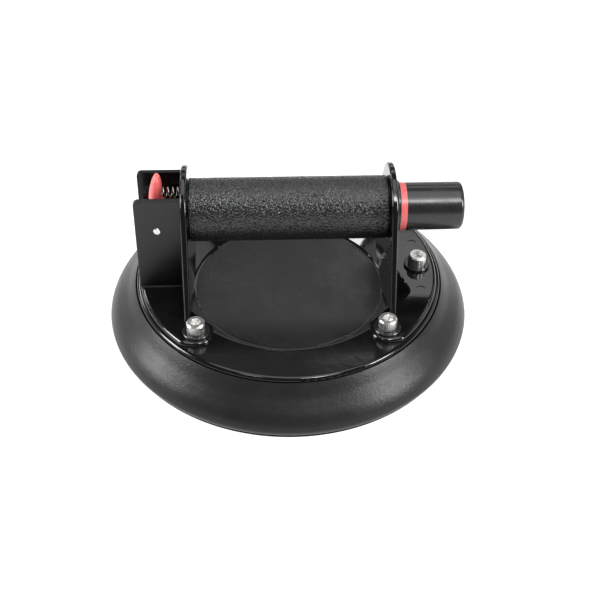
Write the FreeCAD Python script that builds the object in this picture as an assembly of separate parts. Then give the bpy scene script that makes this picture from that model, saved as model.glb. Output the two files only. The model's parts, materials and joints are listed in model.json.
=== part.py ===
# Suction lifter for floor tiles and glass: a round rubber cup under a flat
# round foot, two uprights carrying a horizontal hand grip whose inside is a
# vacuum pump, a push plunger with a red vacuum indicator ring at one end and
# a red release lever between two cheeks at the other.
# Millimetres, +Z up, origin at the centre of the cup on the floor plane,
# +X towards the plunger knob.
import FreeCAD, Part
import math
import os

os.makedirs("parts", exist_ok=True)
V = FreeCAD.Vector

# ---------------------------------------------------------------- dimensions
# rubber cup
PAD_R = 101.7            # widest radius of the bulge
PAD_TOP_R = 85.7         # bore that wraps the foot's skirt
PAD_TOP_Z = 26.1
PAD_LIP_R = 99.2
CAVITY_R = 88.0
CAVITY_Z = 6.0
INSERT_R = 80.0          # steel ring moulded into the rubber
INSERT_Z0, INSERT_Z1 = 9.0, 13.0
GASKET_R = 85.0
FOOT_Z0 = 14.5           # underside of the cast foot
# cast foot
WEB_Z = 17.2             # floor of the round recess
DISC_Z = 18.0            # top of the satin disc
DISC_R = 52.4
RECESS_R = 52.42
CONE_FOOT_R = 53.7       # where cone and recess floor would meet
CONE_FILLET = 2.4
CONE_TOP_R = 64.0
PLATE_Z = 28.0
RIM_R = 85.3
RIM_FILLET = 2.2
# raised platforms at both ends
PLAT_Z = 30.3
PLAT_R = 83.0
PLAT_FILLET = 2.1
PLAT_Y = 32.4
CORNER_X, CORNER_Y = 41.2, 45.4
SCREW_XY = (50.2, 51.8)
SCREW_END_X = 72.5
BOSS_ARC_R = 9.0
# grip axis and uprights
GRIP_Z = 71.6
R_IN, R_OUT = 52.6, 55.9  # faces of the right upright
L_IN, L_OUT = 53.4, 56.7  # faces of the left upright, on the -X side
UP_TOP_R, UP_TOP_Z = 25.0, 70.2
UP_FOOT_Y = 44.0
GRIP_R = 17.0
END_GAP = 0.2            # sleeve ends clear of the uprights
BARREL_R, BORE_R = 15.4, 14.2
# lever housing
CHEEK_Y0, CHEEK_Y1 = 11.7, 14.5
CHEEK_X, CHEEK_TOP_X = 82.1, 81.0
CHEEK_Z = 87.8
SPRING_Z = 83.2
PIVOT_X, PIVOT_Z = -69.8, 68.6
VALVE_X = -76.8
PORT_X = -62.1
# gussets
GUS_Y0, GUS_Y1 = 20.5, 23.3
GUS_X = 66.2
GUS_Z = 46.6
# plunger
PL_R = 12.9
RING_X0, RING_X1 = 58.9, 62.3
KNOB_X = 92.9
GLAND_R = 15.2
GLAND_STEP_R = 14.1
GLAND_BORE = 13.0
STOP_X = 44.0            # inner end of the gland nut
PISTON_X0, PISTON_X1 = 33.7, 43.7
# screws
SCREW_R = 3.0
WASH_R, WASH_H = 7.2, 1.6
HEAD_R, HEAD_H = 4.9, 6.0


# ------------------------------------------------------------------- helpers
def poly(pts):
    pts = [V(*p) for p in pts]
    return Part.makePolygon(pts + [pts[0]])


def edge_wire(items):
    """items: ('l', p, q) lines and ('a', p, mid, q) arcs, end to end."""
    edges = []
    for it in items:
        if it[0] == 'l':
            edges.append(Part.makeLine(V(*it[1]), V(*it[2])))
        else:
            edges.append(Part.Arc(V(*it[1]), V(*it[2]), V(*it[3])).toShape())
    return Part.Wire(edges)


def rev_z(pts, x=0.0, y=0.0):
    """Closed (r, z) polygon turned about the vertical line through (x, y)."""
    face = Part.Face(poly([(p[0], 0, p[1]) for p in pts]))
    s = face.revolve(V(0, 0, 0), V(0, 0, 1), 360)
    s.translate(V(x, y, 0))
    return s


def rev_x(pts, z=GRIP_Z):
    """Closed (x, r) polygon turned about the line along X at height z."""
    face = Part.Face(poly([(p[0], 0, p[1]) for p in pts]))
    s = face.revolve(V(0, 0, 0), V(1, 0, 0), 360)
    s.translate(V(0, 0, z))
    return s


def cyl(r, h, x, y, z, d=(0, 0, 1)):
    return Part.makeCylinder(r, h, V(x, y, z), V(*d))


def arc_pts(cx, cz, r, a0, a1, n):
    out = []
    for i in range(n + 1):
        a = math.radians(a0 + (a1 - a0) * i / n)
        out.append((cx + r * math.cos(a), cz + r * math.sin(a)))
    return out


def hexagon(af, h, x, y, z, d='z', turn=0.0):
    c = af / math.sqrt(3)
    pts = []
    for i in range(6):
        a = math.radians(turn + 60 * i)
        pts.append((c * math.cos(a), c * math.sin(a), 0))
    s = Part.Face(poly(pts)).extrude(V(0, 0, h))
    if d == 'x':
        s.rotate(V(0, 0, 0), V(0, 1, 0), 90)
    s.translate(V(x, y, z))
    return s


def spring(r_mean, wire, pitch, length, start, axis):
    """Coil whose wire starts and ends inside the given length."""
    h = length - wire
    helix = Part.makeHelix(pitch, h, r_mean)
    circ = Part.Wire(Part.makeCircle(wire / 2.0, V(r_mean, 0, 0), V(0, 1, 0)))
    s = Part.Wire(helix).makePipeShell([circ], True, True)
    s = Part.Solid(s) if s.ShapeType == "Shell" else s
    s.translate(V(0, 0, wire / 2.0))
    if axis == 'x':
        s.rotate(V(0, 0, 0), V(0, 1, 0), 90)
    s.translate(V(*start))
    return s


def fuse(shapes):
    s = shapes[0]
    if len(shapes) > 1:
        s = s.multiFuse(shapes[1:])
    return s.removeSplitter()


def cut(s, tools):
    for t in tools:
        s = s.cut(t)
    return s


def save(name, shape):
    shape.exportStep("parts/%s.step" % name)


SCREWS = [(SCREW_END_X, 0.0)] + [(sx * SCREW_XY[0], sy * SCREW_XY[1])
                                 for sx in (1, -1) for sy in (1, -1)]

# ---------------------------------------------------------------- rubber pad
bulge = [V(PAD_TOP_R + 0.4, 0, PAD_TOP_Z), V(87.6, 0, 24.3), V(90.8, 0, 20.3),
         V(94.2, 0, 16.9), V(97.4, 0, 13.7), V(99.8, 0, 10.5), V(101.2, 0, 7.7),
         V(PAD_R, 0, 5.8), V(101.0, 0, 3.6), V(99.0, 0, 2.3)]
crv = Part.BSplineCurve()
crv.interpolate(bulge)
pad_edges = [
    crv.toShape(),
    Part.makeLine(bulge[-1], V(96.2, 0, 1.9)),
    Part.makeLine(V(96.2, 0, 1.9), V(96.2, 0, 1.4)),
    Part.makeLine(V(96.2, 0, 1.4), V(PAD_LIP_R, 0, 1.0)),
    Part.makeLine(V(PAD_LIP_R, 0, 1.0), V(PAD_LIP_R - 0.1, 0, 0)),
    Part.makeLine(V(PAD_LIP_R - 0.1, 0, 0), V(93.0, 0, 0)),
    Part.makeLine(V(93.0, 0, 0), V(CAVITY_R, 0, 4.4)),
    Part.makeLine(V(CAVITY_R, 0, 4.4), V(84.0, 0, CAVITY_Z)),
    Part.makeLine(V(84.0, 0, CAVITY_Z), V(0, 0, CAVITY_Z)),
    Part.makeLine(V(0, 0, CAVITY_Z), V(0, 0, INSERT_Z0)),
    Part.makeLine(V(0, 0, INSERT_Z0), V(INSERT_R, 0, INSERT_Z0)),
    Part.makeLine(V(INSERT_R, 0, INSERT_Z0), V(INSERT_R, 0, INSERT_Z1)),
    Part.makeLine(V(INSERT_R, 0, INSERT_Z1), V(PAD_TOP_R, 0, INSERT_Z1)),
    Part.makeLine(V(PAD_TOP_R, 0, INSERT_Z1), V(PAD_TOP_R, 0, PAD_TOP_Z - 0.6)),
    Part.makeLine(V(PAD_TOP_R, 0, PAD_TOP_Z - 0.6), bulge[0]),
]
pad = Part.Face(Part.Wire(pad_edges)).revolve(V(0, 0, 0), V(0, 0, 1), 360)
# round ridges on the gripping face
for rr in (30.0, 52.0, 70.0):
    pad = pad.fuse(rev_z([(rr - 1.2, CAVITY_Z), (rr - 0.7, CAVITY_Z - 1.4),
                          (rr + 0.7, CAVITY_Z - 1.4), (rr + 1.2, CAVITY_Z)]))
pad = pad.removeSplitter()
pad = cut(pad, [cyl(8.0, 5.0, PORT_X, 0, 2.0), cyl(6.0, 4.5, PORT_X, 0, 4.0),
                cyl(2.0, 12.0, PORT_X, 0, 0.5), cyl(1.6, 12.0, VALVE_X, 0, 0.5)])
save("rubber_pad", pad)

insert = cyl(INSERT_R, INSERT_Z1 - INSERT_Z0, 0, 0, INSERT_Z0)
insert = insert.cut(cyl(38.0, 8, 0, 0, INSERT_Z0 - 2))
insert = insert.fuse(cyl(38.0, 1.5, 0, 0, INSERT_Z1 - 1.5))
insert = insert.fuse(cyl(38.0, INSERT_Z1 - 1.5 - INSERT_Z0, 0, 0, INSERT_Z0)
                     ).removeSplitter()
insert = cut(insert, [cyl(SCREW_R + 0.02, 8, x, y, INSERT_Z0 - 2)
                      for x, y in SCREWS])
insert = cut(insert, [cyl(2.0, 8, PORT_X, 0, INSERT_Z0 - 2),
                      cyl(1.6, 8, VALVE_X, 0, INSERT_Z0 - 2)])
save("pad_insert_plate", insert)

gasket = cyl(GASKET_R, FOOT_Z0 - INSERT_Z1, 0, 0, INSERT_Z1)
gasket = cut(gasket, [cyl(3.4, 4, x, y, INSERT_Z1 - 1) for x, y in SCREWS]
             + [cyl(2.4, 4, PORT_X, 0, INSERT_Z1 - 1),
                cyl(2.0, 4, VALVE_X, 0, INSERT_Z1 - 1)])
save("plate_gasket", gasket)

# the port's filter and its push-in ring, in the gripping face
filt = cyl(5.9, 1.5, PORT_X, 0, 7.0)
save("port_filter", filt)
ret = cyl(7.9, 1.1, PORT_X, 0, 5.9)
ret = cut(ret, [cyl(1.3, 4, PORT_X + 3.3 * math.cos(math.radians(a)),
                    3.3 * math.sin(math.radians(a)), 5) for a in range(0, 360, 60)]
          + [cyl(1.3, 4, PORT_X, 0, 5)])
save("filter_retainer", ret)

# ----------------------------------------------------------------- cast foot
k45 = math.sqrt(0.5)
# straight cone with a rounded inside corner where it meets the recess floor
ct = (CONE_TOP_R - 1.7, PLATE_Z - 1.15)
cang = math.atan2(ct[1] - DISC_Z, ct[0] - CONE_FOOT_R)
tl = CONE_FILLET * math.tan(cang / 2)
cf0 = (CONE_FOOT_R - tl, DISC_Z)
cf1 = (CONE_FOOT_R + tl * math.cos(cang), DISC_Z + tl * math.sin(cang))
cfm = (cf0[0] + CONE_FILLET * math.sin(cang / 2),
       DISC_Z + CONE_FILLET * (1 - math.cos(cang / 2)))
foot_wire = edge_wire([
    ('l', (0, 0, FOOT_Z0), (RIM_R, 0, FOOT_Z0)),
    ('l', (RIM_R, 0, FOOT_Z0), (RIM_R, 0, PLATE_Z - RIM_FILLET)),
    ('a', (RIM_R, 0, PLATE_Z - RIM_FILLET),
     (RIM_R - RIM_FILLET * (1 - k45), 0, PLATE_Z - RIM_FILLET * (1 - k45)),
     (RIM_R - RIM_FILLET, 0, PLATE_Z)),
    ('l', (RIM_R - RIM_FILLET, 0, PLATE_Z), (CONE_TOP_R + 1.0, 0, PLATE_Z)),
    ('a', (CONE_TOP_R + 1.0, 0, PLATE_Z), (CONE_TOP_R - 0.45, 0, PLATE_Z - 0.3),
     (CONE_TOP_R - 1.7, 0, PLATE_Z - 1.15)),
    ('l', (ct[0], 0, ct[1]), (cf1[0], 0, cf1[1])),
    ('a', (cf1[0], 0, cf1[1]), (cfm[0], 0, cfm[1]), (cf0[0], 0, cf0[1])),
    ('l', (cf0[0], 0, cf0[1]), (RECESS_R, 0, DISC_Z)),
    ('l', (RECESS_R, 0, DISC_Z), (RECESS_R, 0, WEB_Z)),
    ('l', (RECESS_R, 0, WEB_Z), (0, 0, WEB_Z)),
    ('l', (0, 0, WEB_Z), (0, 0, FOOT_Z0)),
])
foot = Part.Face(foot_wire).revolve(V(0, 0, 0), V(0, 0, 1), 360)


def platform(sx):
    """Raised end platform, built for +X and mirrored by sx."""
    plat_x = R_IN if sx > 0 else L_IN
    cx, cy = SCREW_XY
    a_in = math.radians(180)
    a_out = math.radians(280)
    p1 = (cx + BOSS_ARC_R * math.cos(a_in), -cy + BOSS_ARC_R * math.sin(a_in))
    am = math.radians(230)
    pm = (cx + BOSS_ARC_R * math.cos(am), -cy + BOSS_ARC_R * math.sin(am))
    p2 = (cx + BOSS_ARC_R * math.cos(a_out), -cy + BOSS_ARC_R * math.sin(a_out))
    ang = math.radians(-45.8)
    p3 = (PLAT_R * math.cos(ang), PLAT_R * math.sin(ang))
    z = FOOT_Z0

    def P(p):
        return (p[0], p[1], z)

    def M(p):
        return (p[0], -p[1], z)
    items = [
        ('l', (plat_x, PLAT_Y, z), (plat_x, -PLAT_Y, z)),
        ('l', (plat_x, -PLAT_Y, z), (CORNER_X, -CORNER_Y, z)),
        ('l', (CORNER_X, -CORNER_Y, z), P(p1)),
        ('a', P(p1), P(pm), P(p2)),
        ('l', P(p2), P(p3)),
        ('a', P(p3), (PLAT_R, 0, z), M(p3)),
        ('l', M(p3), M(p2)),
        ('a', M(p2), M(pm), M(p1)),
        ('l', M(p1), (CORNER_X, CORNER_Y, z)),
        ('l', (CORNER_X, CORNER_Y, z), (plat_x, PLAT_Y, z)),
    ]
    s = Part.Face(edge_wire(items)).extrude(V(0, 0, PLAT_Z - FOOT_Z0))
    # round the standing corners, then the top edges
    def vertical(px, py):
        for e in s.Edges:
            b = e.BoundBox
            if b.ZLength > 10 and abs(b.XMin - px) < 0.05 and abs(b.YMin - py) < 0.05 \
                    and b.XLength < 0.05 and b.YLength < 0.05:
                return e
        return None
    es = [vertical(CORNER_X, -CORNER_Y), vertical(CORNER_X, CORNER_Y)]
    s = s.makeFillet(3.0, [e for e in es if e])
    es = [vertical(p3[0], p3[1]), vertical(p3[0], -p3[1])]
    s = s.makeFillet(5.0, [e for e in es if e])
    top = [e for e in s.Edges
           if abs(e.BoundBox.ZMin - PLAT_Z) < 1e-3 and e.BoundBox.ZLength < 1e-3
           and not (e.BoundBox.XLength < 1e-3 and abs(e.BoundBox.XMin - plat_x) < 1e-3)]
    s = s.makeFillet(PLAT_FILLET, top)
    if sx < 0:
        s = s.mirror(V(0, 0, 0), V(1, 0, 0))
    return s


foot = foot.multiFuse([platform(1), platform(-1)]).removeSplitter()
# hollow ring under the flat plate, with solid pillars left round each hole
hollow = rev_z([(60.5, FOOT_Z0 - 1), (60.5, FOOT_Z0), (66.2, 21.6), (68.2, 23.9),
                (80.2, 23.9), (82.0, 22.2), (82.0, FOOT_Z0 - 1)])
pillars = [cyl(7.0, 12, x, y, FOOT_Z0 - 1.5) for x, y in SCREWS]
pillars += [cyl(6.0, 12, PORT_X, 0, FOOT_Z0 - 1.5), cyl(6.0, 12, VALVE_X, 0, FOOT_Z0 - 1.5)]
hollow = cut(hollow, pillars)
foot = foot.cut(hollow)
foot = cut(foot, [cyl(3.2, 30, x, y, FOOT_Z0 - 5) for x, y in SCREWS])
foot = cut(foot, [cyl(2.0, 30, PORT_X, 0, FOOT_Z0 - 5),
                  cyl(2.52, 9.0, PORT_X, 0, PLAT_Z - 8.4),
                  cyl(1.6, 30, VALVE_X, 0, FOOT_Z0 - 5),
                  cyl(2.52, 8.0, VALVE_X, 0, PLAT_Z - 6.4)])
# two shallow round dimples on the platform under the knob
foot = cut(foot, [cyl(2.3, 1.0, 72.3, s * 20.4, PLAT_Z - 0.35) for s in (1, -1)])
foot = foot.removeSplitter()
save("base_plate", foot)

disc = cyl(DISC_R, DISC_Z - WEB_Z, 0, 0, WEB_Z)
disc = disc.makeChamfer(0.06, [e for e in disc.Edges if e.BoundBox.ZMin > DISC_Z - 0.01])
save("centre_disc", disc)

# ----------------------------------------------------------- cap screws
def cap_screw(x, y):
    z0 = PLAT_Z + WASH_H
    n = 30
    star = []
    for i in range(2 * n):
        r = HEAD_R if i % 2 == 0 else HEAD_R - 0.13
        a = math.pi * i / n
        star.append((r * math.cos(a), r * math.sin(a), z0))
    head = Part.Face(poly(star)).extrude(V(0, 0, HEAD_H))
    lim = rev_z([(0, z0), (HEAD_R - 0.3, z0), (HEAD_R + 0.1, z0 + 0.4),
                 (HEAD_R + 0.1, z0 + HEAD_H - 0.9), (HEAD_R - 0.7, z0 + HEAD_H),
                 (0, z0 + HEAD_H)])
    head = head.common(lim)
    head = head.cut(hexagon(5.0, 4.0, 0, 0, z0 + HEAD_H - 2.6, turn=12))
    shank = rev_z([(0, INSERT_Z0 + 0.1), (SCREW_R - 0.6, INSERT_Z0 + 0.1),
                   (SCREW_R, INSERT_Z0 + 0.7), (SCREW_R, z0 + 0.01), (0, z0 + 0.01)])
    s = head.fuse(shank).removeSplitter()
    s.translate(V(x, y, 0))
    return s


save("cap_screws", Part.makeCompound([cap_screw(x, y) for x, y in SCREWS]))
washers = []
for x, y in SCREWS:
    w = rev_z([(3.2, PLAT_Z), (WASH_R, PLAT_Z), (WASH_R, PLAT_Z + WASH_H - 0.3),
               (WASH_R - 0.3, PLAT_Z + WASH_H), (3.2, PLAT_Z + WASH_H)], x, y)
    washers.append(w)
save("screw_washers", Part.makeCompound(washers))

# -------------------------------------------------------------- uprights
def upright(x0):
    """Plate from x0 towards +X, round top and straight spreading sides."""
    px, pz = UP_FOOT_Y, PLAT_Z - UP_TOP_Z
    d = math.hypot(px, pz)
    base = math.atan2(pz, px)
    a = base + math.acos(UP_TOP_R / d)
    tx, tz = UP_TOP_R * math.cos(a), UP_TOP_R * math.sin(a) + UP_TOP_Z
    w = edge_wire([
        ('l', (x0, -UP_FOOT_Y, PLAT_Z), (x0, UP_FOOT_Y, PLAT_Z)),
        ('l', (x0, UP_FOOT_Y, PLAT_Z), (x0, tx, tz)),
        ('a', (x0, tx, tz), (x0, 0, UP_TOP_Z + UP_TOP_R), (x0, -tx, tz)),
        ('l', (x0, -tx, tz), (x0, -UP_FOOT_Y, PLAT_Z)),
    ])
    s = Part.Face(w).extrude(V(R_OUT - R_IN, 0, 0))
    es = [e for e in s.Edges if e.BoundBox.XLength < 1e-3 and e.BoundBox.ZMax > PLAT_Z + 1]
    return s.makeFillet(1.0, es)


right_up = upright(R_IN)
right_up = right_up.cut(cyl(BORE_R, 10, R_IN - 3, 0, GRIP_Z, (1, 0, 0)))
save("right_upright", right_up)
left_up = upright(-L_OUT)
left_up = left_up.cut(cyl(3.1, 10, -L_OUT - 3, 0, GRIP_Z, (1, 0, 0)))
left_up = left_up.fuse(cyl(1.6, 2.2, -L_OUT, 0, SPRING_Z, (-1, 0, 0))).removeSplitter()
save("left_upright", left_up)

gus = Part.Face(poly([(R_OUT, -GUS_Y1, PLAT_Z), (GUS_X, -GUS_Y1, PLAT_Z),
                      (GUS_X, -GUS_Y1, PLAT_Z + 0.8), (R_OUT + 0.9, -GUS_Y1, GUS_Z),
                      (R_OUT, -GUS_Y1, GUS_Z)])).extrude(V(0, GUS_Y1 - GUS_Y0, 0))
save("right_gusset", gus)


def cheek(y0):
    s = Part.Face(poly([(-L_OUT, y0, PLAT_Z), (-CHEEK_X, y0, PLAT_Z),
                        (-CHEEK_TOP_X, y0, CHEEK_Z), (-L_OUT, y0, CHEEK_Z)]))
    s = s.extrude(V(0, CHEEK_Y1 - CHEEK_Y0, 0))
    es = [e for e in s.Edges if e.BoundBox.YLength > 1 and e.BoundBox.ZMin > CHEEK_Z - 1
          and e.BoundBox.XMax < -CHEEK_TOP_X + 1]
    s = s.makeFillet(2.8, es)
    es = [e for e in s.Edges if e.BoundBox.YLength < 1e-3 and e.BoundBox.ZMax > PLAT_Z + 1
          and e.BoundBox.XMin < -L_OUT - 0.5]
    s = s.makeFillet(0.5, es)
    # weld bead along the outer foot
    yo, d = (y0, -0.7) if y0 < 0 else (y0 + CHEEK_Y1 - CHEEK_Y0, 0.7)
    bead = Part.Face(poly([(-L_OUT, yo, PLAT_Z), (-L_OUT, yo + d, PLAT_Z),
                           (-L_OUT, yo, PLAT_Z + 0.7)])).extrude(V(L_OUT - CHEEK_X + 0.8, 0, 0))
    s = s.fuse(bead).removeSplitter()
    return s.cut(cyl(2.02, 6, PIVOT_X, y0 - 1, PIVOT_Z, (0, 1, 0)))


save("lever_cheek_front", cheek(-CHEEK_Y1))
save("lever_cheek_rear", cheek(CHEEK_Y0))

# ------------------------------------------------------------- grip and pump
g0, g1 = -L_IN + END_GAP, R_IN - END_GAP
grip_pts = [(g0, BARREL_R), (g0, GRIP_R - 0.9)]
grip_pts += arc_pts(g0 + 0.9, GRIP_R - 0.9, 0.9, 180, 90, 5)[1:]
grip_pts += arc_pts(g1 - 0.9, GRIP_R - 0.9, 0.9, 90, 0, 5)
grip_pts += [(g1, BARREL_R)]
save("grip_sleeve", rev_x(grip_pts))

save("pump_barrel", rev_x([(-L_IN, BORE_R), (-L_IN, BARREL_R), (R_IN, BARREL_R),
                           (R_IN, BORE_R)]))

hub_r = BORE_R - 0.04
gl = [(STOP_X, GLAND_BORE), (STOP_X, hub_r), (R_OUT, hub_r), (R_OUT, GLAND_R)]
gl += arc_pts(R_OUT + 1.1, GLAND_R - 0.5, 0.5, 90, 0, 4)
gl += [(R_OUT + 1.6, GLAND_STEP_R)]
gl += arc_pts(RING_X0 - 0.5, GLAND_STEP_R - 0.5, 0.5, 90, 0, 4)
gl += [(RING_X0, GLAND_BORE), (55.1, GLAND_BORE), (55.1, GLAND_BORE + 0.6),
       (53.1, GLAND_BORE + 0.6), (53.1, GLAND_BORE)]
save("gland_nut", rev_x(gl))
save("gland_wiper", rev_x([(53.2, PL_R + 0.04), (55.0, PL_R + 0.04),
                           (55.0, GLAND_BORE + 0.58), (53.2, GLAND_BORE + 0.58)]))

# end plug with the inlet check valve
plug_r = BORE_R - 0.04
seat0, seat1 = -49.5, -47.5
plug = rev_x([(-64.0, 1.5), (-64.0, 3.0), (-L_IN, 3.0), (-L_IN, plug_r),
              (-49.2, plug_r), (-49.2, 12.85), (-46.6, 12.85), (-46.6, plug_r),
              (-40.0, plug_r), (-40.0, 3.2), (seat1, 3.2), (seat0, 1.5)])
plug = plug.cut(cyl(1.2, 10, PORT_X, 0, GRIP_Z - 8))
save("end_plug", plug)
oring = Part.makeTorus(13.515, 0.64, V(-47.9, 0, GRIP_Z), V(1, 0, 0))
save("end_plug_oring", oring)
nut = hexagon(8.0, 2.2, -L_OUT - 2.2, 0, GRIP_Z, 'x', turn=30)
nut = nut.cut(cyl(3.02, 10, -62, 0, GRIP_Z, (1, 0, 0)))
save("plug_locknut", nut)

alpha = math.atan((3.2 - 1.5) / (seat1 - seat0))
apex = seat0 - 1.5 / math.tan(alpha)
BALL_R = 2.5
ball_x = apex + BALL_R / math.sin(alpha) + 0.05
save("check_ball", Part.makeSphere(BALL_R, V(ball_x, 0, GRIP_Z)))
save("check_cage", rev_x([(-42.0, 1.0), (-42.0, 3.2), (-40.2, 3.2), (-40.2, 1.0)]))
save("check_spring", spring(1.45, 0.3, 0.95, 2.9, (-45.05, 0, GRIP_Z), 'x'))

# plunger
kn = [(50.0, 9.0), (50.0, 11.0), (RING_X1, 11.0), (RING_X1, PL_R)]
kn += arc_pts(KNOB_X - 2.2, PL_R - 2.2, 2.2, 90, 0, 8)
kn += [(KNOB_X, 0), (KNOB_X - 3.0, 0), (KNOB_X - 3.0, 9.0)]
save("plunger_knob", rev_x(kn))
save("indicator_ring", rev_x([(RING_X0, 11.0), (RING_X0, PL_R), (RING_X1, PL_R),
                              (RING_X1, 11.0)]))
save("plunger_tube", rev_x([(PISTON_X1, 11.0), (PISTON_X1, PL_R), (RING_X0, PL_R),
                            (RING_X0, 11.0)]))
save("piston_head", rev_x([(PISTON_X0, 2.52), (PISTON_X0, 13.6), (36.0, 13.6),
                           (36.0, 11.4), (40.4, 11.4), (40.4, 13.6), (PISTON_X1, 13.6),
                           (PISTON_X1, 11.0), (49.5, 11.0), (49.5, 2.52)]))
save("piston_cup_seal", rev_x([(36.1, 11.45), (36.1, 12.3), (37.6, 12.6), (36.1, 13.4),
                               (36.1, BORE_R - 0.03), (40.3, 13.9), (40.3, 11.45)]))
scr = rev_x([(31.2, 0), (31.2, 4.2), (31.6, 4.6), (PISTON_X0, 4.6), (PISTON_X0, 2.5),
             (47.5, 2.5), (47.5, 0)])
scr = scr.cut(hexagon(4.0, 2.2, 31.0, 0, GRIP_Z, 'x'))
save("piston_screw", scr)
save("return_spring", spring(9.6, 1.4, 6.2, 33.6 - (-39.9), (-39.9, 0, GRIP_Z), 'x'))

# --------------------------------------------------- suction line to the cup
elbow = Part.makeBox(4.2, 8.0, 9.0, V(-64.3, -4.0, GRIP_Z - 5.0))
elbow = elbow.makeFillet(0.5, [e for e in elbow.Edges])
elbow = elbow.fuse(cyl(2.2, 9.2, PORT_X, 0, 58.0)).removeSplitter()
elbow = elbow.cut(cyl(3.02, 4.3, -60.0, 0, GRIP_Z, (-1, 0, 0)))
elbow = elbow.cut(cyl(1.2, 13, PORT_X, 0, 57.0))
save("hose_elbow", elbow)
hose = cyl(3.2, 33.2, PORT_X, 0, 33.2).cut(cyl(2.22, 40, PORT_X, 0, 30))
save("vacuum_hose", hose)
barb = hexagon(6.6, 2.8, PORT_X, 0, PLAT_Z, turn=0)
barb = barb.fuse(cyl(2.2, 11.0, PORT_X, 0, PLAT_Z + 1.0))
barb = barb.fuse(cyl(2.5, 9.0, PORT_X, 0, PLAT_Z - 8.0)).removeSplitter()
barb = barb.cut(cyl(1.2, 30, PORT_X, 0, PLAT_Z - 10))
save("port_barb", barb)

# --------------------------------------------------------- release valve
vb = rev_z([(1.2, 24.2), (2.5, 24.2), (2.5, PLAT_Z), (3.4, PLAT_Z), (3.4, 37.9),
            (3.0, 38.3), (1.62, 38.3), (1.62, 37.0), (2.7, 37.0), (2.7, 31.2),
            (1.2, 31.2)], VALVE_X)
vb = vb.cut(cyl(0.6, 12, VALVE_X, -6, 35.8, (0, 1, 0)))
save("valve_body", vb)
save("valve_seal", rev_z([(0, 31.25), (2.3, 31.25), (2.4, 31.6), (2.4, 32.7), (0.9, 32.7),
                          (0.9, 31.9), (0, 31.9)], VALVE_X))
save("valve_stem", rev_z([(0, 31.92), (0.88, 31.92), (0.88, 32.7), (1.5, 32.7),
                          (1.5, 70.2), (1.2, 70.5), (0, 70.5)], VALVE_X))
snut = hexagon(4.5, 2.6, VALVE_X, 0, 66.5, turn=0).cut(cyl(1.52, 6, VALVE_X, 0, 65))
save("stem_nut", snut)

# --------------------------------------------------------- release lever
# tapering oval thumb blade: height, left x, right x, half thickness across
SECTIONS = [(71.0, -72.2, -68.0, 6.3), (75.0, -73.9, -67.6, 6.4), (79.0, -74.1, -67.0, 6.3),
            (83.0, -73.8, -66.7, 6.0), (87.0, -73.0, -66.6, 5.4), (90.0, -72.1, -66.8, 4.6),
            (92.5, -71.1, -67.3, 3.4), (94.0, -70.3, -67.9, 2.1), (94.8, -69.7, -68.5, 1.1)]
rings = []
for z, xl, xr, hy in SECTIONS:
    hx = (xr - xl) / 2
    el = Part.Ellipse(V(0, 0, 0), hy, hx)
    e = el.toShape()
    e.rotate(V(0, 0, 0), V(0, 0, 1), 90)
    e.translate(V((xl + xr) / 2, 0, z))
    rings.append(Part.Wire([e]))
blade = Part.makeLoft(rings, True, False)
# flat seat for the spring
blade = blade.cut(cyl(3.5, 8.0, -67.9, 0, SPRING_Z, (1, 0, 0)))
hub = cyl(3.8, 2 * CHEEK_Y0 - 0.6, PIVOT_X, -CHEEK_Y0 + 0.3, PIVOT_Z, (0, 1, 0))
fork = Part.makeBox(10.3, 8.0, 2.6, V(-79.8, -4.0, 63.6))
lever = blade.fuse(hub).fuse(fork)
lever = lever.fuse(cyl(1.5, 2.2, -69.4, 0, SPRING_Z, (1, 0, 0)))
lever = lever.removeSplitter()
lever = lever.cut(Part.makeBox(6.4, 3.8, 5.0, V(-80.4, -1.9, 62.5)))
lever = lever.cut(cyl(2.06, 30, PIVOT_X, -15, PIVOT_Z, (0, 1, 0)))
save("release_lever", lever)
pin = cyl(2.0, 2 * CHEEK_Y1 + 1.2, PIVOT_X, -CHEEK_Y1 - 0.6, PIVOT_Z, (0, 1, 0))
pin = pin.makeChamfer(0.35, [e for e in pin.Edges if e.Curve.TypeId == 'Part::GeomCircle'])
save("pivot_pin", pin)
save("lever_spring", spring(2.5, 0.8, 2.6, 11.0, (-67.9, 0, SPRING_Z), 'x'))
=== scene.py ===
import bmesh
import bpy
import json
import math
import random
from mathutils import Matrix, Vector


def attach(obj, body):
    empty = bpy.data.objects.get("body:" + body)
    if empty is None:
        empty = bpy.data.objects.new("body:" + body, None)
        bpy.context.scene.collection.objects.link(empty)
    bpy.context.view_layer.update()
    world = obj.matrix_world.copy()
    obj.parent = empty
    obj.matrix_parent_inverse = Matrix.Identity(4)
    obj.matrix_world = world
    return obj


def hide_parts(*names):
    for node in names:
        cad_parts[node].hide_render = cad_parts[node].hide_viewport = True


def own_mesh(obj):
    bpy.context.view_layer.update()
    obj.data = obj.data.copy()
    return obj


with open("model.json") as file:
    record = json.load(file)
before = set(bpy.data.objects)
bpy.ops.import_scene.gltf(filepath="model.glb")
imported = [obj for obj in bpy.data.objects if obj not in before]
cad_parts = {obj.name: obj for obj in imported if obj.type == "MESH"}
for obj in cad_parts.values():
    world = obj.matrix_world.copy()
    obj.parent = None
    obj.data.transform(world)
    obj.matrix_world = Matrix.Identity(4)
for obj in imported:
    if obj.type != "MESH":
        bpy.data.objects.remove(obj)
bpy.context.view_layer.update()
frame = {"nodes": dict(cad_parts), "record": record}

N = frame["nodes"]
MM = 0.001
scene = bpy.context.scene


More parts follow.
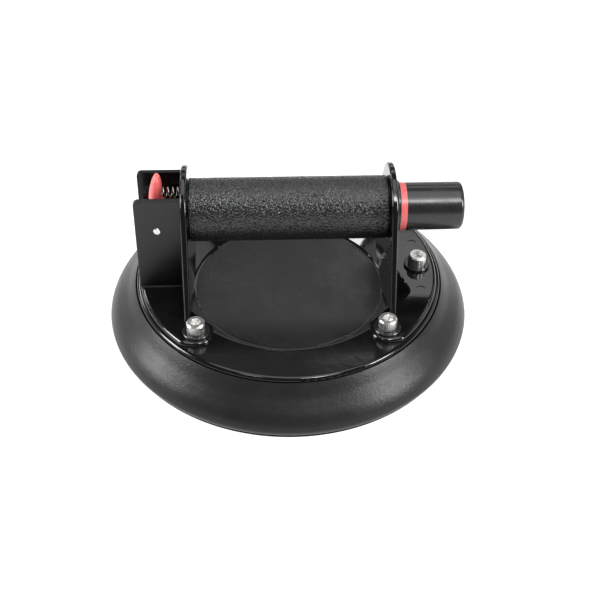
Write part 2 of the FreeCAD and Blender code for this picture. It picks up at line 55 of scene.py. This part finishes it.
# ------------------------------------------------------------------ materials
class Mat:
    """A principled material with small helpers for procedural detail."""

    def __init__(self, name, base, rough, metal=0.0, **sockets):
        self.m = bpy.data.materials.new(name)
        self.m.use_nodes = True
        self.t = self.m.node_tree
        self.b = next(n for n in self.t.nodes if n.type == "BSDF_PRINCIPLED")
        self.b.inputs["Base Color"].default_value = (*base, 1.0)
        self.b.inputs["Roughness"].default_value = rough
        self.b.inputs["Metallic"].default_value = metal
        for k, v in sockets.items():
            self.b.inputs[k.replace("_", " ")].default_value = v
        self.base = base
        self.co = self.t.nodes.new("ShaderNodeTexCoord").outputs["Object"]
        self.normal = None

    def new(self, kind):
        return self.t.nodes.new(kind)

    def link(self, a, b):
        self.t.links.new(a, b)

    def mapped(self, scale):
        mp = self.new("ShaderNodeMapping")
        mp.inputs["Scale"].default_value = scale
        self.link(self.co, mp.inputs["Vector"])
        return mp.outputs["Vector"]

    def noise(self, scale, detail=3.0, rough=0.55, vec=None, distort=0.0):
        n = self.new("ShaderNodeTexNoise")
        n.inputs["Scale"].default_value = scale
        n.inputs["Detail"].default_value = detail
        n.inputs["Roughness"].default_value = rough
        n.inputs["Distortion"].default_value = distort
        self.link(vec if vec is not None else self.co, n.inputs["Vector"])
        return n.outputs["Fac"]

    def ramp(self, fac, lo, hi, a, b):
        r = self.new("ShaderNodeMapRange")
        r.inputs["From Min"].default_value = lo
        r.inputs["From Max"].default_value = hi
        r.inputs["To Min"].default_value = a
        r.inputs["To Max"].default_value = b
        self.link(fac, r.inputs["Value"])
        return r.outputs["Result"]

    def rough(self, fac, a, b, lo=0.3, hi=0.7):
        self.link(self.ramp(fac, lo, hi, a, b), self.b.inputs["Roughness"])
        return self

    def colour(self, fac, other, lo=0.35, hi=0.65, first=None):
        mx = self.new("ShaderNodeMix")
        mx.data_type = "RGBA"
        self.link(self.ramp(fac, lo, hi, 0.0, 1.0), mx.inputs[0])
        mx.inputs[6].default_value = (*(first or self.base), 1.0)
        mx.inputs[7].default_value = (*other, 1.0)
        self.link(mx.outputs[2], self.b.inputs["Base Color"])
        return self

    def bump(self, height, dist, strength=1.0):
        bp = self.new("ShaderNodeBump")
        bp.inputs["Strength"].default_value = strength
        bp.inputs["Distance"].default_value = dist
        self.link(height, bp.inputs["Height"])
        if self.normal is not None:
            self.link(self.normal, bp.inputs["Normal"])
        self.normal = bp.outputs["Normal"]
        self.link(self.normal, self.b.inputs["Normal"])
        return self


def gloss_black(name="gloss_black_paint"):
    m = Mat(name, (0.0028, 0.0028, 0.0031), 0.1)
    m.b.inputs["Specular IOR Level"].default_value = 0.46
    m.rough(m.noise(38, 4, 0.6), 0.06, 0.13)
    m.colour(m.noise(95, 5, 0.7), (0.0048, 0.0048, 0.0052))
    m.bump(m.noise(260, 2, 0.5), 0.00035, 0.10)
    m.bump(m.noise(2600, 2, 0.5), 0.00003, 0.10)
    return m.m


def pad_rubber():
    m = Mat("pad_rubber", (0.0105, 0.0105, 0.0113), 0.33)
    m.b.inputs["Specular IOR Level"].default_value = 0.28
    m.rough(m.noise(55, 5, 0.65), 0.29, 0.37)
    m.colour(m.noise(24, 6, 0.7), (0.0155, 0.0155, 0.016), 0.4, 0.75)
    m.bump(m.noise(620, 5, 0.65), 0.00022, 0.5)
    m.bump(m.noise(2300, 3, 0.6), 0.00010, 0.7)
    return m.m


# Darker, duller lip rubber: painted shade for the shaded band under the bulge, not a different rubber.
def pad_lip_painted_shade():
    m = Mat("pad_lip_painted_shade", (0.0022, 0.0022, 0.0024), 0.7)
    m.b.inputs["Specular IOR Level"].default_value = 0.12
    m.rough(m.noise(90, 4, 0.6), 0.62, 0.78)
    m.colour(m.noise(140, 5, 0.7), (0.004, 0.004, 0.0042))
    m.bump(m.noise(1400, 3, 0.6), 0.0001, 0.5)
    return m.m


def cheek_paint(name, spec, r0, r1):
    m = Mat(name, (0.0026, 0.0026, 0.0029), r0)
    m.b.inputs["Specular IOR Level"].default_value = spec
    m.rough(m.noise(60, 4, 0.6), r0, r1)
    m.colour(m.noise(120, 5, 0.7), (0.0046, 0.0046, 0.005))
    m.bump(m.noise(2200, 2, 0.5), 0.00003, 0.2)
    return m.m


def disc_grey():
    m = Mat("disc_satin", (0.0122, 0.0122, 0.0119), 0.3)
    m.b.inputs["Specular IOR Level"].default_value = 0.45
    m.rough(m.noise(42, 5, 0.7), 0.22, 0.36)
    m.colour(m.noise(60, 6, 0.75), (0.0145, 0.0145, 0.014))
    m.bump(m.noise(1800, 3, 0.6), 0.00003, 0.35)
    return m.m


def grip_rubber():
    m = Mat("grip_pebbled", (0.0075, 0.0075, 0.008), 0.3)
    m.b.inputs["Specular IOR Level"].default_value = 0.62
    m.bump(m.noise(1450, 0, 0.5), 0.0004, 0.85)
    m.rough(m.noise(90, 4, 0.6), 0.16, 0.24)
    m.colour(m.noise(900, 4, 0.7), (0.014, 0.014, 0.0145))
    return m.m


def satin_black(name, base=0.014, r0=0.3, r1=0.4, fine=1500):
    m = Mat(name, (base, base, base * 1.03), r0)
    m.rough(m.noise(70, 4, 0.6), r0, r1)
    m.colour(m.noise(120, 5, 0.7), (base * 1.5, base * 1.5, base * 1.52))
    m.bump(m.noise(fine, 3, 0.6), 0.00004, 0.4)
    return m.m


def red(name, base):
    m = Mat(name, base, 0.3)
    m.b.inputs["Subsurface Weight"].default_value = 0.0
    m.rough(m.noise(120, 4, 0.6), 0.24, 0.38)
    m.colour(m.noise(210, 5, 0.7), (base[0] * 0.9, base[1] * 0.82, base[2] * 0.82))
    m.bump(m.noise(900, 3, 0.6), 0.00004, 0.4)
    return m.m


def steel(name, tint=(0.78, 0.77, 0.75), r0=0.16, r1=0.32, scale=(1, 1, 1), s=900):
    m = Mat(name, tint, r0, 1.0)
    vec = m.mapped(scale)
    m.rough(m.noise(s, 4, 0.6, vec), r0, r1)
    m.colour(m.noise(s * 0.4, 5, 0.7, vec), tuple(c * 0.78 for c in tint))
    m.bump(m.noise(s * 2.2, 3, 0.6, vec), 0.00005, 0.4)
    return m.m


def brass():
    m = Mat("brass", (0.78, 0.58, 0.28), 0.25, 1.0)
    m.rough(m.noise(500, 4, 0.6), 0.2, 0.36)
    m.colour(m.noise(300, 5, 0.7), (0.6, 0.42, 0.2))
    m.bump(m.noise(1500, 3, 0.6), 0.00004, 0.4)
    return m.m


def felt():
    m = Mat("filter_felt", (0.62, 0.6, 0.55), 0.9)
    m.colour(m.noise(1500, 6, 0.8), (0.45, 0.43, 0.39))
    m.bump(m.noise(3000, 5, 0.8), 0.0002, 0.8)
    return m.m


GLOSS = gloss_black()
MATS = {
    "gloss_black": GLOSS,
    "pad_rubber": pad_rubber(),
    "pad_lip_painted_shade": pad_lip_painted_shade(),
    "disc_grey": disc_grey(),
    "grip_rubber": grip_rubber(),
    "knob_black": satin_black("knob_satin", 0.010, 0.2, 0.28),
    "gland_black": satin_black("gland_satin", 0.009, 0.18, 0.28),
    "black_plastic": satin_black("plain_plastic", 0.014, 0.4, 0.5),
    "gasket_rubber": satin_black("gasket_rubber", 0.012, 0.5, 0.65),
    "hose_rubber": satin_black("hose_rubber", 0.012, 0.35, 0.5),
    "signal_red": red("ring_red", (0.70, 0.142, 0.136)),
    "lever_red": red("lever_red", (0.70, 0.122, 0.116)),
    "bright_steel": steel("bright_steel", (0.8, 0.79, 0.77), 0.26, 0.38),
    "spring_steel": steel("spring_steel", (0.7, 0.69, 0.68), 0.2, 0.34),
    "plated_steel": steel("plated_steel", (0.66, 0.67, 0.68), 0.3, 0.45),
    "tube_steel": steel("tube_steel", (0.6, 0.6, 0.6), 0.25, 0.4, (0.2, 1, 1)),
    "brass": brass(),
    "filter_felt": felt(),
}
slot_of = {s["node"]: s["material_slot"] for s in frame["record"]["subparts"]}
# One paint in two copies: the rear cheek's copy has a lower specular level and roughness, painted
# shade that darkens its inner face.
CHEEK = {"lever_cheek_front": cheek_paint("cheek_paint", 0.41, 0.29, 0.35),
         "lever_cheek_rear": cheek_paint("cheek_paint_shaded_copy", 0.25, 0.12, 0.18)}
for name, o in N.items():
    o.data.materials.clear()
    o.data.materials.append(CHEEK.get(name) or MATS[slot_of[name]])
    o.data.shade_smooth()
    try:
        o.data.set_sharp_from_angle(angle=math.radians(32))
    except AttributeError:
        pass


# ------------------------------------------------------------- extra geometry
def mesh_obj(name, verts, faces, mat, body, smooth=True, angle=32):
    me = bpy.data.meshes.new(name)
    me.from_pydata([Vector(v) for v in verts], [], faces)
    me.validate()
    me.update()
    o = bpy.data.objects.new(name, me)
    scene.collection.objects.link(o)
    me.materials.append(mat)
    if smooth:
        me.shade_smooth()
        try:
            me.set_sharp_from_angle(angle=math.radians(angle))
        except AttributeError:
            pass
    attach(o, body)
    return o


def smooth_curve(pts, per):
    """Catmull-Rom through the points, per steps on each span."""
    out = []
    q = [pts[0]] + list(pts) + [pts[-1]]
    for k in range(1, len(q) - 2):
        p0, p1, p2, p3 = q[k - 1], q[k], q[k + 1], q[k + 2]
        for i in range(per):
            t = i / per
            out.append(tuple(0.5 * (2 * b + (c - a) * t + (2 * a - 5 * b + 4 * c - d) * t * t
                                    + (3 * b - a - 3 * c + d) * t ** 3)
                             for a, b, c, d in zip(p0, p1, p2, p3)))
    out.append(tuple(pts[-1]))
    return out


def lathe(profile, n):
    """Closed (r, z) outline in mm turned about +Z; r = 0 points become poles."""
    verts, rings = [], []
    for r, z in profile:
        if r < 1e-6:
            rings.append([len(verts)] * n)
            verts.append((0.0, 0.0, z * MM))
        else:
            rings.append(list(range(len(verts), len(verts) + n)))
            for k in range(n):
                a = 2 * math.pi * k / n
                verts.append((r * MM * math.cos(a), r * MM * math.sin(a), z * MM))
    faces = []
    for a, b in zip(rings, rings[1:] + rings[:1]):
        for k in range(n):
            f = []
            for v in (a[k], b[k], b[(k + 1) % n], a[(k + 1) % n]):
                if v not in f:
                    f.append(v)
            if len(f) > 2:
                faces.append(tuple(f))
    return verts, faces


def drill(o, holes):
    """Cut round holes (x, r, z0, z1 in mm) by boolean and keep the result."""
    tools = []
    for k, (x, r, z0, z1) in enumerate(holes):
        bm = bmesh.new()
        bmesh.ops.create_cone(bm, cap_ends=True, segments=48, radius1=r * MM, radius2=r * MM,
                              depth=(z1 - z0) * MM)
        bmesh.ops.translate(bm, vec=(x * MM, 0, (z0 + z1) / 2 * MM), verts=bm.verts)
        me = bpy.data.meshes.new("drill")
        bm.to_mesh(me)
        bm.free()
        t = bpy.data.objects.new("drill", me)
        scene.collection.objects.link(t)
        md = o.modifiers.new("hole%d" % k, "BOOLEAN")
        md.operation = "DIFFERENCE"
        md.solver = "EXACT"
        md.object = t
        tools.append(t)
    dg = bpy.context.evaluated_depsgraph_get()
    me = bpy.data.meshes.new_from_object(o.evaluated_get(dg))
    o.modifiers.clear()
    o.data = me
    for t in tools:
        bpy.data.objects.remove(t, do_unlink=True)
    me.shade_smooth()
    try:
        me.set_sharp_from_angle(angle=math.radians(32))
    except AttributeError:
        pass


# the moulded cup: crowned slope, groove, thin lip and ridged gripping face
slope = smooth_curve([(86.1, 26.1), (87.6, 24.3), (90.8, 20.3), (94.2, 16.9), (97.4, 13.7),
                      (99.8, 10.5), (101.2, 7.7), (101.68, 5.8), (101.0, 3.6), (99.0, 2.3)], 7)
under = [(97.6, 2.08), (96.25, 1.9), (96.2, 1.65), (96.25, 1.4), (97.6, 1.22), (99.0, 1.04),
         (99.2, 0.9), (99.15, 0.15), (99.0, 0.0), (95.0, 0.0), (93.2, 0.0), (92.8, 0.12), (90.0, 2.65),
         (88.1, 4.3), (87.7, 4.5), (84.2, 5.92), (83.6, 6.0), (72.0, 6.0)]
for rr in (70.0, 52.0, 30.0):
    under += [(rr + 1.3, 5.98), (rr + 0.8, 4.75), (rr + 0.55, 4.6), (rr - 0.55, 4.6),
              (rr - 0.8, 4.75), (rr - 1.3, 5.98), (rr - 3.0, 6.0)]
inner = [(12.0, 6.0), (0.0, 6.0), (0.0, 9.0), (80.0, 9.0), (80.0, 13.0), (85.7, 13.0),
         (85.7, 25.6), (85.85, 25.95)]
v, f = lathe(slope + under + inner, 320)
pad = mesh_obj("cup_rubber", v, f, MATS["pad_rubber"], "base")
drill(pad, [(-62.1, 8.0, 2.0, 7.0), (-62.1, 6.0, 4.0, 8.5), (-62.1, 2.0, 0.5, 12.5),
            (-76.8, 1.6, 0.5, 12.5)])
# Painted shade: lip faces below 1.9 mm height and beyond 95.5 mm radius take the darker lip material.
pad.data.materials.append(MATS["pad_lip_painted_shade"])
for poly in pad.data.polygons:
    c = poly.center
    if c.z < 0.0019 and math.hypot(c.x, c.y) > 0.0955:
        poly.material_index = 1
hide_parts("rubber_pad")


def pebbled_grip():
    """Grip sleeve with raised pebbles over its whole outer face."""
    x0, x1, r_in, r_top, amp = -53.2, 52.4, 15.4, 16.76, 0.25
    nx, nv = 272, 272
    circ = 2 * math.pi * 17.0
    cx, cv = 84, 85
    px, pv = (x1 - x0) / cx, circ / cv
    rnd = random.Random(11)
    seeds = [[(rnd.uniform(0.14, 0.86), rnd.uniform(0.14, 0.86), rnd.uniform(0.75, 1.0))
              for _ in range(cv)] for _ in range(cx + 2)]
    verts = []
    xs = [x0, x0 + 0.12, x0 + 0.32, x0 + 0.6]
    xs += [x0 + 0.9 + (x1 - x0 - 1.8) * k / (nx - 1) for k in range(nx)]
    xs += [x1 - 0.6, x1 - 0.32, x1 - 0.12, x1]
    drop = [0.9, 0.5, 0.22, 0.06] + [0.0] * nx + [0.06, 0.22, 0.5, 0.9]
    for x, dr in zip(xs, drop):
        u = (x - x0) / px
        iu = int(u)
        edge = min(1.0, max(0.0, min(x - x0, x1 - x) / 1.1))
        for k in range(nv):
            w = k / nv * cv
            iw = int(w)
            best, lift = 9.0, 1.0
            for a in (iu - 1, iu, iu + 1):
                if a < -1 or a > cx:
                    continue
                row = seeds[a + 1]
                for b in (iw - 1, iw, iw + 1):
                    sx, sv, sa = row[b % cv]
                    d = ((a + sx - u) ** 2 + (b + sv - w) ** 2)
                    if d < best:
                        best, lift = d, sa
            h = amp * lift * max(0.0, 1.0 - best / 0.42) * edge
            r = (r_top - dr * 0.85 + h) * MM
            t = 2 * math.pi * k / nv
            verts.append((x * MM, r * math.cos(t), 0.0716 + r * math.sin(t)))
    rows = len(xs)
    for x in (x1, x0):
        for k in range(nv):
            t = 2 * math.pi * k / nv
            verts.append((x * MM, r_in * MM * math.cos(t), 0.0716 + r_in * MM * math.sin(t)))
    faces = []
    rows += 2
    for i in range(rows):
        a, b = i * nv, ((i + 1) % rows) * nv
        for k in range(nv):
            k2 = (k + 1) % nv
            faces.append((a + k, a + k2, b + k2, b + k))
    return verts, faces


v, f = pebbled_grip()
grip = mesh_obj("grip_cover", v, f, MATS["grip_rubber"], "base", angle=50)
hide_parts("grip_sleeve")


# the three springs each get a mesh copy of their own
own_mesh(N["return_spring"])
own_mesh(N["lever_spring"])
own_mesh(N["check_spring"])


# --------------------------------------------------------------------- camera
def camera():
    az, el, roll = math.radians(3.1), math.radians(41.85), math.radians(0.92)
    target = Vector((6.27, 0.0, 5.85)) * MM
    dist = 580.9 * MM
    back = Vector((-math.sin(az) * math.cos(el), -math.cos(az) * math.cos(el), math.sin(el)))
    right = Vector((math.cos(az), -math.sin(az), 0.0))
    up = back.cross(right)
    R = right * math.cos(roll) + up * math.sin(roll)
    U = up * math.cos(roll) - right * math.sin(roll)
    loc = target + (R * 0.46 - U * 0.52) * MM + back * dist
    cam = bpy.data.cameras.new("camera")
    cam.lens = 60.0
    cam.sensor_width = 36.0
    cam.sensor_fit = "HORIZONTAL"
    cam.clip_start = 0.01
    cam.clip_end = 20.0
    o = bpy.data.objects.new("camera", cam)
    scene.collection.objects.link(o)
    m = Matrix((R, U, back)).transposed().to_4x4()
    m.translation = loc
    o.matrix_world = m
    scene.camera = o


camera()


# ---------------------------------------------------------- floor and lights
def floor():
    me = bpy.data.meshes.new("floor")
    s = 4.0
    me.from_pydata([(-s, -s, 0), (s, -s, 0), (s, s, 0), (-s, s, 0)], [], [(0, 1, 2, 3)])
    o = bpy.data.objects.new("floor", me)
    scene.collection.objects.link(o)
    m = Mat("floor", (0.3, 0.3, 0.3), 0.75)
    m.b.inputs["Specular IOR Level"].default_value = 0.1
    m.b.inputs["Emission Color"].default_value = (1, 1, 1, 1)
    m.b.inputs["Emission Strength"].default_value = 0.95
    me.materials.append(m.m)


floor()


def area(name, loc, target, size, power, size_y=None, colour=(1, 1, 1)):
    li = bpy.data.lights.new(name, "AREA")
    li.shape = "RECTANGLE"
    li.size = size
    li.size_y = size_y or size
    li.energy = power
    li.color = colour
    o = bpy.data.objects.new(name, li)
    scene.collection.objects.link(o)
    d = Vector(loc) - Vector(target)
    o.location = loc
    o.rotation_euler = d.to_track_quat("Z", "Y").to_euler()
    return o


area("side_left", (-1.12, -0.07, 0.60), (0, 0, 0.02), 0.38, 15.5, 0.6)
area("side_right", (1.0, -0.5, 0.62), (0, 0, 0.02), 0.34, 14.5, 0.5)
area("overhead", (0.05, 0.08, 1.25), (0, 0, 0.03), 1.1, 6.5, 0.8)
area("grip_key", (0.25, -0.62, 1.1), (0, 0, 0.07), 0.2, 2.6, 0.2)
area("grip_key_left", (-0.38, -0.52, 1.12), (0, 0, 0.07), 0.2, 1.1, 0.2)
area("knob_strip", (0.36, -0.60, 1.2), (0.08, 0, 0.07), 0.34, 3.0, 0.42)
area("back_right", (0.37, 1.09, 1.05), (0.05, 0, 0.03), 0.5, 0.36, 0.3)
area("back_low", (0.06, 1.1, 0.98), (0, 0, 0.03), 0.95, 0.75, 0.24)
area("back_high", (0.0, 1.1, 1.24), (0, 0, 0.03), 1.0, 0.17, 0.3)
area("back_horizon", (0.0, 1.3, 0.42), (0, 0, 0.05), 1.3, 1.3, 0.3)
area("back_left", (-0.85, 0.9, 0.75), (0, 0, 0.03), 0.35, 3.0, 0.35)
area("left_low", (-1.0, 0.58, 0.27), (-0.06, 0, 0.06), 0.12, 0.3, 0.12)
area("wall_fill_right", (1.1, 0.42, 0.52), (-0.05, 0.03, 0.02), 0.8, 1.15, 0.36)
area("wall_fill_left", (-1.1, 0.42, 0.52), (0.05, 0.03, 0.02), 0.7, 0.75, 0.32)

w = bpy.data.worlds.new("studio")
w.use_nodes = True
bg = next(n for n in w.node_tree.nodes if n.type == "BACKGROUND")
bg.inputs["Color"].default_value = (1, 1, 1, 1)
bg.inputs["Strength"].default_value = 0.1
scene.world = w
scene.view_settings.view_transform = "Standard"
scene.view_settings.look = "None"
scene.view_settings.exposure = 0.0
scene.view_settings.gamma = 1.0
